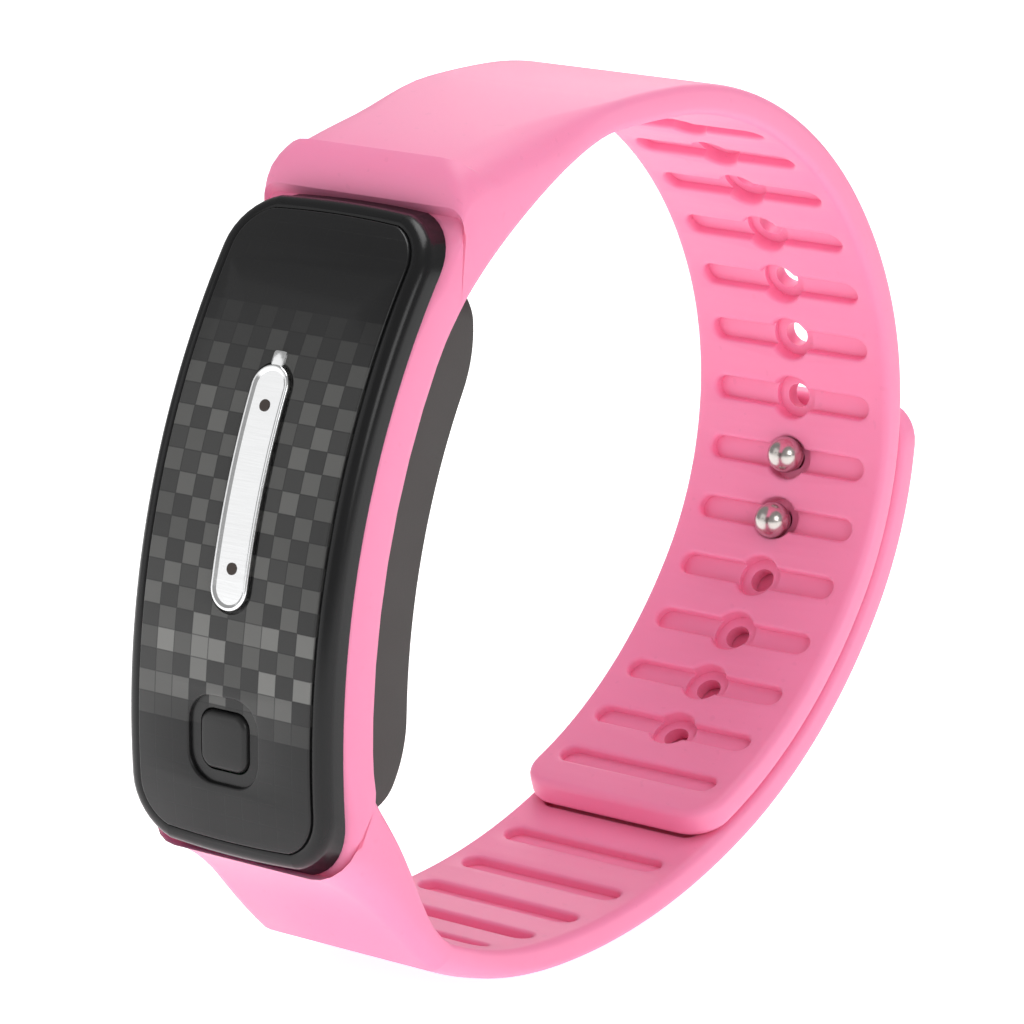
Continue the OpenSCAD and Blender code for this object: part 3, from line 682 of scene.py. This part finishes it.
class TRACKER_OT_frame(bpy.types.Operator):
    """Makes the silicone frame round the pod, with its brow and heel"""
    bl_idname = "tracker.frame"
    bl_label = "Silicone frame"

    def execute(self, context):
        f = shape()
        band, pod = f.band, f.pod
        back = pod.front_depth + pod.frame_depth
        end_z = pod.front_l / 2 + pod.end_bow
        inner_r = 0.9 * MM
        stations = []  # outer place, inner place, outer rounding, inner rounding

        # the brow, from the upper flex line to the pod's upper end, and round the nose to behind the bezel;
        # its inner face follows one smooth curve from the strap to the back of the frame
        seam = f.on_loop(f.high_flex_at, -band.strap_t)
        from_strap = (seam - f.on_loop(f.high_flex_at - 1 * MM, -band.strap_t)).normalized()
        low_turn = math.radians(17.5)
        low = f.on_face(back, low_turn)
        along_face = (f.on_face(back, low_turn + 0.01) - low).normalized()
        ways = [seam, seam + from_strap * 6 * MM, low + along_face * 4 * MM, low]
        brow_end = f.loop_l - 0.9 * MM
        brow_steps = 10
        outers = []
        for i in range(brow_steps + 1):
            t = i / brow_steps
            outers.append((f.on_loop(mix(f.high_flex_at, brow_end, t)),
                           mix(band.edge_r, 3.4 * MM, ease(1.5 * t))))
        for depth, rise, r in NOSE:
            outers.append((f.in_pod(depth * MM, end_z + rise * MM), r * MM))
        for i, (outer, r) in enumerate(outers):
            u = i / len(outers)
            u = u * (1 - 0.12 * math.sin(math.pi * u))
            stations.append((outer, curve_point(ways, u), r, mix(band.edge_r, inner_r, u)))
        # down both sides of the pod
        for out_turn, in_turn, r in SIDES:
            outer = f.on_face(pod.front_depth, math.radians(out_turn))
            stations.append((outer, f.on_face(back, math.radians(in_turn)), r * MM, inner_r))
        # the heel, from behind the bezel's lower end to the lower flex line
        heel_back = f.on_face(back, math.radians(-18.4))
        stations.append((f.in_pod(7.9 * MM, -end_z + 0.35 * MM), heel_back, 2.6 * MM, inner_r))
        heel_steps = 12
        for i in range(heel_steps + 1):
            t = i / heel_steps
            lift = 1.8 * MM * math.sin(math.pi * t ** 0.8)
            outer = f.on_loop(mix(-7.9 * MM, band.low_flex, t), f.outer_out - lift)
            inner_out = mix(-4.22 * MM, band.layer_gap, ease(t ** 1.6))
            inner = f.on_loop(mix(-10.2 * MM, band.low_flex, t), inner_out)
            stations.append((outer, inner, mix(2.9 * MM, SEAM_OUTER_R, ease(t * 1.3)),
                             mix(inner_r, SEAM_INNER_R, t)))

        rings = [ring(row(a), row(b), ACROSS_ROW, band.strap_w, r, q) for a, b, r, q in stations]
        piece = loft("silicone_frame", rings)
        play = 0.1 * MM
        window = block("window", (-pod.body_w / 2 - play, -5 * MM, -pod.body_l / 2 - play),
                       (pod.body_w / 2 + play, 20 * MM, pod.body_l / 2 + play))
        bevel(window, upright, pod.body_corner + play, 8)
        window.matrix_world = f.pod_matrix()
        settle(window)
        combine(piece, window)
        smooth(piece, 38)
        finish_piece(piece, "silicone", ["band_frame"])
        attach(piece, "band")
        return {"FINISHED"}


def sink_groove(piece, band, s, inner):
    """Sinks one cross groove into the strap's inner face."""
    tool = rounded_block("groove", s, 0, band.groove_w, band.groove_l, inner - band.groove_depth, inner + CUT,
                         band.groove_w / 2 - SHY, 6)
    combine(piece, tool)


def folds(piece):
    """The edges of a piece that fold sharply, each by the places of its two ends."""
    mesh, normals = piece.data, {}
    for face in mesh.polygons:
        for key in face.edge_keys:
            normals.setdefault(key, []).append(face.normal.copy())
    sharp = set()
    for edge in mesh.edges:
        pair = normals.get(edge.key, [])
        if len(pair) == 2 and pair[0].angle(pair[1], 0.0) > math.radians(40):
            sharp.add(tuple(mesh.vertices[v].co.to_tuple(8) for v in edge.vertices))
    return sharp


def soften(piece, level, reach, size, steps=2):
    """Rounds the sharp edges that the cutters left in a flat face, away from the piece's own long edges."""
    sharp = folds(piece)
    bevel(piece, lambda a, b: at_depth(level)(a, b) and max(abs(a.z), abs(b.z)) < reach
          and (a.to_tuple(8), b.to_tuple(8)) in sharp, size, steps)


class TRACKER_OT_hole_strap(bpy.types.Operator):
    """Makes the strap with the row of holes, each in a groove and a round seat"""
    bl_idname = "tracker.hole_strap"
    bl_label = "Hole strap"

    def execute(self, context):
        f = shape()
        band = f.band
        inner = band.strap_t
        half_w = band.strap_w / 2
        piece = block("silicone_hole_strap", (f.hole_end, 0, -half_w), (f.high_flex_at, inner, half_w))
        bevel(piece, lambda a, b: upright(a, b) and same(a.x, f.hole_end), band.tip_r, 8)
        bevel(piece, along_strap(f.high_flex_at), band.edge_r, ROUND_STEPS)
        for i in range(-GROOVES_BELOW, GROOVES_ABOVE + 1):
            s = band.stud_at + i * band.pitch
            sink_groove(piece, band, s, inner)
            if i > -GROOVES_BELOW:
                combine(piece, disc("seat", s, 0, band.seat_d, inner - band.seat_depth, inner + CUT))
                combine(piece, disc("hole", s, 0, band.hole_d, -CUT, inner + CUT, 32))
        soften(piece, inner, FLAT_HALF, MOUTH_R, 3)
        soften(piece, 0, 2 * MM, 0.12 * MM)
        slices(piece)
        wrap(piece, f.loop_path())
        smooth(piece)
        finish_piece(piece, "silicone", ["hole_strap"])
        row(f.on_loop(f.high_flex_at))
        row(f.on_loop(f.high_flex_at - 12 * MM))
        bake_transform(piece)
        return {"FINISHED"}


class TRACKER_OT_stud_strap(bpy.types.Operator):
    """Makes the strap that runs under the other one, with its grooves"""
    bl_idname = "tracker.stud_strap"
    bl_label = "Stud strap"

    def execute(self, context):
        f = shape()
        band = f.band
        outer, inner = -f.outer_out, -band.layer_gap
        fade_to = 20 * MM
        fade_steps = 8
        places = [mix(band.low_flex, fade_to, i / fade_steps) for i in range(fade_steps + 1)]
        places.append(f.clasp_flex_at)
        rings = []
        for s in places:
            t = ease((s - band.low_flex) / (fade_to - band.low_flex))
            rings.append(ring(Vector((s, outer, 0)), Vector((s, inner, 0)), ACROSS_FLAT, band.strap_w,
                              mix(SEAM_OUTER_R, band.edge_r, t), mix(SEAM_INNER_R, band.edge_r, t)))
        piece = loft("silicone_stud_strap", rings)
        for i in range(UNDER_GROOVES):
            sink_groove(piece, band, band.under_first + i * band.pitch, inner)
        soften(piece, inner, FLAT_HALF, MOUTH_R, 3)
        slices(piece)
        wrap(piece, f.loop_path())
        smooth(piece)
        finish_piece(piece, "silicone", ["stud_strap"])
        row(f.on_loop(band.low_flex))
        row(f.on_loop(band.low_flex + 9 * MM))
        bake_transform(piece)
        return {"FINISHED"}


class TRACKER_OT_strap_end(bpy.types.Operator):
    """Makes the end of the stud strap, with the recess for the clasp plate"""
    bl_idname = "tracker.strap_end"
    bl_label = "Strap end"

    def execute(self, context):
        f = shape()
        band = f.band
        outer, inner = -f.outer_out, -band.layer_gap
        half_w = band.strap_w / 2
        piece = block("silicone_strap_end", (f.clasp_flex_at, outer, -half_w), (f.stud_end, inner, half_w))
        bevel(piece, lambda a, b: upright(a, b) and same(a.x, f.stud_end), band.tip_r, 8)
        bevel(piece, along_strap(f.clasp_flex_at), band.edge_r, ROUND_STEPS)
        recess = rounded_block("recess", f.plate_at, 0, band.plate_l, band.plate_w, outer - CUT,
                               outer + band.plate_t, 2 * MM)
        combine(piece, recess)
        neck_d = band.hole_d - 0.4 * MM
        for way in (-1, 1):
            combine(piece, disc("neck", f.plate_at + way * band.pitch / 2, 0, neck_d, outer, inner + CUT, 32))
        slices(piece)
        wrap(piece, f.loop_path())
        smooth(piece)
        finish_piece(piece, "silicone", ["stud_strap_end"])
        row(f.on_loop(f.clasp_flex_at, f.outer_out))
        row(f.on_loop(f.clasp_flex_at + 5 * MM, f.outer_out))
        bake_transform(piece)
        return {"FINISHED"}


def front_block(f, name, inset, depth0, depth1):
    """A flat block in the outline of the pod's front, with its two ends bowed out."""
    pod = f.pod
    half_l = f.face_run(pod.front_l / 2 + pod.end_bow - inset)
    mid = f.face_at(0)
    w = pod.front_w - 2 * inset
    piece = rounded_block(name, mid, 0, 2 * half_l, w, depth0, depth1, pod.corner - inset, 10)
    bow_r = ((pod.front_w / 2) ** 2 + pod.end_bow ** 2) / (2 * pod.end_bow) - inset
    for way in (-1, 1):
        tool = disc("bow", mid + way * (half_l - bow_r), 0, 2 * bow_r, depth0 - CUT, depth1 + CUT, 720)
        combine(piece, tool, "INTERSECT")
    return piece


def square_ends(f, piece, half, depth0, depth1):
    """Lengthens the back face, so that the ends stay square to the pod once the piece is bent."""
    pick(piece, "VERT", lambda co: same(co.y, depth1))
    stretch = f.face_run(half, depth1) / f.face_run(half, depth0)
    bpy.ops.transform.resize(value=(stretch, 1, 1), center_override=(f.face_at(0), 0, 0))
    bpy.ops.object.mode_set(mode="OBJECT")


def outline_gap(f, co):
    """How far a place on the front lies inside the pod's outline."""
    pod = f.pod
    half_w, half_l = pod.front_w / 2, f.face_run(pod.front_l / 2 + pod.end_bow)
    w, l = abs(co.z) - half_w + pod.corner, abs(co.x - f.face_at(0)) - half_l + pod.corner
    if w > 0 and l > 0:
        return pod.corner - math.hypot(w, l)
    return pod.corner - max(w, l)


class TRACKER_OT_bezel(bpy.types.Operator):
    """Makes the glossy bezel with its rounded shoulder and the pocket for the lens"""
    bl_idname = "tracker.bezel"
    bl_label = "Bezel"

    def execute(self, context):
        f = shape()
        pod = f.pod
        top, back = pod.bezel_step, pod.front_depth
        piece = front_block(f, "bezel", 0, top, back)
        play = 0.05 * MM
        combine(piece, front_block(f, "pocket", pod.margin - play, top - CUT, pod.lens_t + 0.1 * MM))
        combine(piece, rounded_block("hollow", f.face_at(0), 0, pod.body_l - 2 * MM, pod.body_w - 2 * MM, 0,
                                     back + CUT, 2.5 * MM))
        sharp = folds(piece)
        between = pod.margin * 0.6
        for outer_edge, size, steps in ((True, pod.shoulder, 6), (False, 0.2 * MM, 2)):
            bevel(piece, lambda a, b: at_depth(top)(a, b) and (a.to_tuple(8), b.to_tuple(8)) in sharp
                  and (outline_gap(f, (a + b) / 2) < between) == outer_edge, size, steps)
        square_ends(f, piece, pod.front_l / 2 + pod.end_bow, top, back)
        slices(piece)
        wrap(piece, f.face_path())
        smooth(piece)
        finish_piece(piece, "gloss_black", ["front_bezel"])
        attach(piece, "pod")
        return {"FINISHED"}


class TRACKER_OT_lens(bpy.types.Operator):
    """Makes the lens, with the bar's groove, the dish and the button's well, and lays out its print"""
    bl_idname = "tracker.lens"
    bl_label = "Lens"

    def execute(self, context):
        f = shape()
        pod = f.pod
        piece = front_block(f, "lens", pod.margin, 0, pod.lens_t)
        bevel(piece, at_depth(0), 0.16 * MM, 3)
        gap = 0.28 * MM
        bar_x, button_x = f.face_at(pod.bar_up), f.face_at(-pod.button_down)
        combine(piece, rounded_block("bar_groove", bar_x, 0, pod.bar_l + 2 * gap, pod.bar_w + 2 * gap, -CUT,
                                     0.4 * MM, pod.bar_w / 2 + gap - SHY, 12))
        combine(piece, rounded_block("dish", button_x, 0, pod.dish_side, pod.dish_side, -CUT, pod.dish_depth,
                                     pod.button_corner + (pod.dish_side - pod.button_side) / 2))
        edge = pod.dish_side / 2 + 0.1 * MM
        bevel(piece, lambda a, b: at_depth(0)(a, b) and max(abs(a.z), abs(b.z)) < edge
              and max(abs(a.x - button_x), abs(b.x - button_x)) < edge, 0.18 * MM, 3)
        well_gap = 0.15 * MM
        well_side = pod.button_side + 2 * well_gap
        combine(piece, rounded_block("well", button_x, 0, well_side, well_side, -CUT, pod.lens_t + CUT,
                                     pod.button_corner + well_gap))
        square_ends(f, piece, pod.front_l / 2 + pod.end_bow - pod.margin, 0, pod.lens_t)
        slices(piece)
        layer = piece.data.uv_layers.new(name="print")
        for loop in piece.data.loops:
            co = piece.data.vertices[loop.vertex_index].co
            layer.data[loop.index].uv = (co.z / pod.square, (f.face_at(0) - co.x) / pod.square)
        wrap(piece, f.face_path())
        smooth(piece)
        finish_piece(piece, "lens_print", ["front_lens"])
        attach(piece, "pod")
        return {"FINISHED"}


class TRACKER_OT_bar(bpy.types.Operator):
    """Makes the chrome bar with its thin rim and sunk face, and the small tab above it"""
    bl_idname = "tracker.bar"
    bl_label = "Trim bar"

    def execute(self, context):
        f = shape()
        pod = f.pod
        top = -pod.bar_proud
        sunk = 0.38 * MM
        piece = rounded_block("chrome_bar", f.face_at(pod.bar_up), 0, pod.bar_l, pod.bar_w, top, sunk,
                              pod.bar_w / 2 - SHY, 14)
        bevel(piece, at_depth(top), 0.12 * MM, 3)
        pick(piece, "FACE", lambda face: face.normal.y < -0.99 and face.area > 10 * MM * MM)
        bpy.ops.mesh.inset(thickness=0.1 * MM)
        bpy.ops.mesh.inset(thickness=0.22 * MM, depth=-0.16 * MM)
        bpy.ops.object.mode_set(mode="OBJECT")
        slices(piece)
        tab_up = pod.bar_up + (pod.bar_l + pod.tab_w) / 2 - 0.1 * MM
        tab = rounded_block("tab", f.face_at(tab_up), 0, pod.tab_w, pod.tab_w, top / 2, sunk, 0.25 * MM, 3)
        bevel(tab, at_depth(top / 2), 0.1 * MM, 2)
        take(piece)
        tab.select_set(True)
        bpy.ops.object.join()
        wrap(piece, f.face_path())
        smooth(piece)
        finish_piece(piece, "chrome_trim", ["trim_bar"])
        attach(piece, "pod")
        return {"FINISHED"}


class TRACKER_OT_button(bpy.types.Operator):
    """Makes the soft-edged button"""
    bl_idname = "tracker.button"
    bl_label = "Button"

    def execute(self, context):
        f = shape()
        pod = f.pod
        piece = rounded_block("button", f.face_at(-pod.button_down), 0, pod.button_side, pod.button_side,
                              0, 1.5 * MM, pod.button_corner, 8)
        bevel(piece, at_depth(0), 0.4 * MM, 5)
        slices(piece)
        wrap(piece, f.face_path())
        smooth(piece)
        finish_piece(piece, "button_black", ["button_cap"])
        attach(piece, "button")
        return {"FINISHED"}


class TRACKER_OT_finishes(bpy.types.Operator):
    """Gives every modelled part that stays its finish"""
    bl_idname = "tracker.finishes"
    bl_label = "Finishes"

    def execute(self, context):
        slots = {part["node"]: part["material_slot"] for part in frame["record"]["subparts"]}
        for name, part in frame["nodes"].items():
            part.data.materials.clear()
            part.data.materials.append(finish(slots[name]))
        return {"FINISHED"}


class TRACKER_OT_stage(bpy.types.Operator):
    """Sets up the pale floor, the soft studio lights and the camera"""
    bl_idname = "tracker.stage"
    bl_label = "Stage"

    def execute(self, context):
        scene = context.scene
        deselect()
        bpy.ops.mesh.primitive_plane_add(size=6)
        floor = context.object
        floor.name = "floor"
        m = Maker("floor", Base_Color=(0.9, 0.9, 0.9, 1), Roughness=0.9, Emission_Color=(1, 1, 1, 1),
                  Emission_Strength=0.7)
        floor.data.materials.append(m.material)
        world = bpy.data.worlds.new("studio")
        world.use_nodes = True
        world.node_tree.nodes["Background"].inputs["Color"].default_value = (1, 1, 1, 1)
        world.node_tree.nodes["Background"].inputs["Strength"].default_value = 0.34
        scene.world = world
        aim = Vector((0, 0, 0.033))
        for name, place, side, power in LAMPS:
            data = bpy.data.lights.new(name, "AREA")
            data.size, data.energy = side, power
            light = bpy.data.objects.new(name, data)
            light.location = place
            light.rotation_euler = (aim - Vector(place)).to_track_quat("-Z", "Y").to_euler()
            scene.collection.objects.link(light)
        data = bpy.data.cameras.new("camera")
        data.lens, data.sensor_width, data.clip_start = 182.9, 36, 0.01
        camera = bpy.data.objects.new("camera", data)
        face = shape().in_pod(0, 0)
        camera.location = (0.2402, face.x - 0.27254, face.y + 0.09181)
        camera.rotation_euler = (math.radians(75.92), 0, math.radians(38.31))
        scene.collection.objects.link(camera)
        scene.camera = camera
        scene.view_settings.view_transform = "Standard"
        return {"FINISHED"}


STEPS = ("frame", "hole_strap", "stud_strap", "strap_end", "bezel", "lens", "bar", "button", "finishes",
         "stage")


class TRACKER_PT_panel(bpy.types.Panel):
    bl_label = "Tracker band"
    bl_space_type = "VIEW_3D"
    bl_region_type = "UI"
    bl_category = "Tracker band"

    def draw(self, context):
        for step in STEPS:
            self.layout.operator("tracker." + step)
        for group in (context.scene.tracker_band, context.scene.tracker_pod, context.scene.tracker_colours):
            column = self.layout.column()
            for key in group.__annotations__:
                column.prop(group, key)


CLASSES = (BandSizes, PodSizes, Colours, TRACKER_OT_frame, TRACKER_OT_hole_strap, TRACKER_OT_stud_strap,
           TRACKER_OT_strap_end, TRACKER_OT_bezel, TRACKER_OT_lens, TRACKER_OT_bar, TRACKER_OT_button,
           TRACKER_OT_finishes, TRACKER_OT_stage, TRACKER_PT_panel)


def register():
    for cls in CLASSES:
        bpy.utils.register_class(cls)
    bpy.types.Scene.tracker_band = bpy.props.PointerProperty(type=BandSizes)
    bpy.types.Scene.tracker_pod = bpy.props.PointerProperty(type=PodSizes)
    bpy.types.Scene.tracker_colours = bpy.props.PointerProperty(type=Colours)


def unregister():
    del bpy.types.Scene.tracker_colours, bpy.types.Scene.tracker_pod, bpy.types.Scene.tracker_band
    for cls in reversed(CLASSES):
        bpy.utils.unregister_class(cls)


def strip_finishes():
    """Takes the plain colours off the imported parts, so that each slot's own finish can take its name."""
    for part in frame["nodes"].values():
        part.data.materials.clear()
    for material in list(bpy.data.materials):
        bpy.data.materials.remove(material)


def main():
    register()
    strip_finishes()
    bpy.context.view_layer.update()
    for step in STEPS:
        getattr(bpy.ops.tracker, step)()


if __name__ == "__main__":
    main()
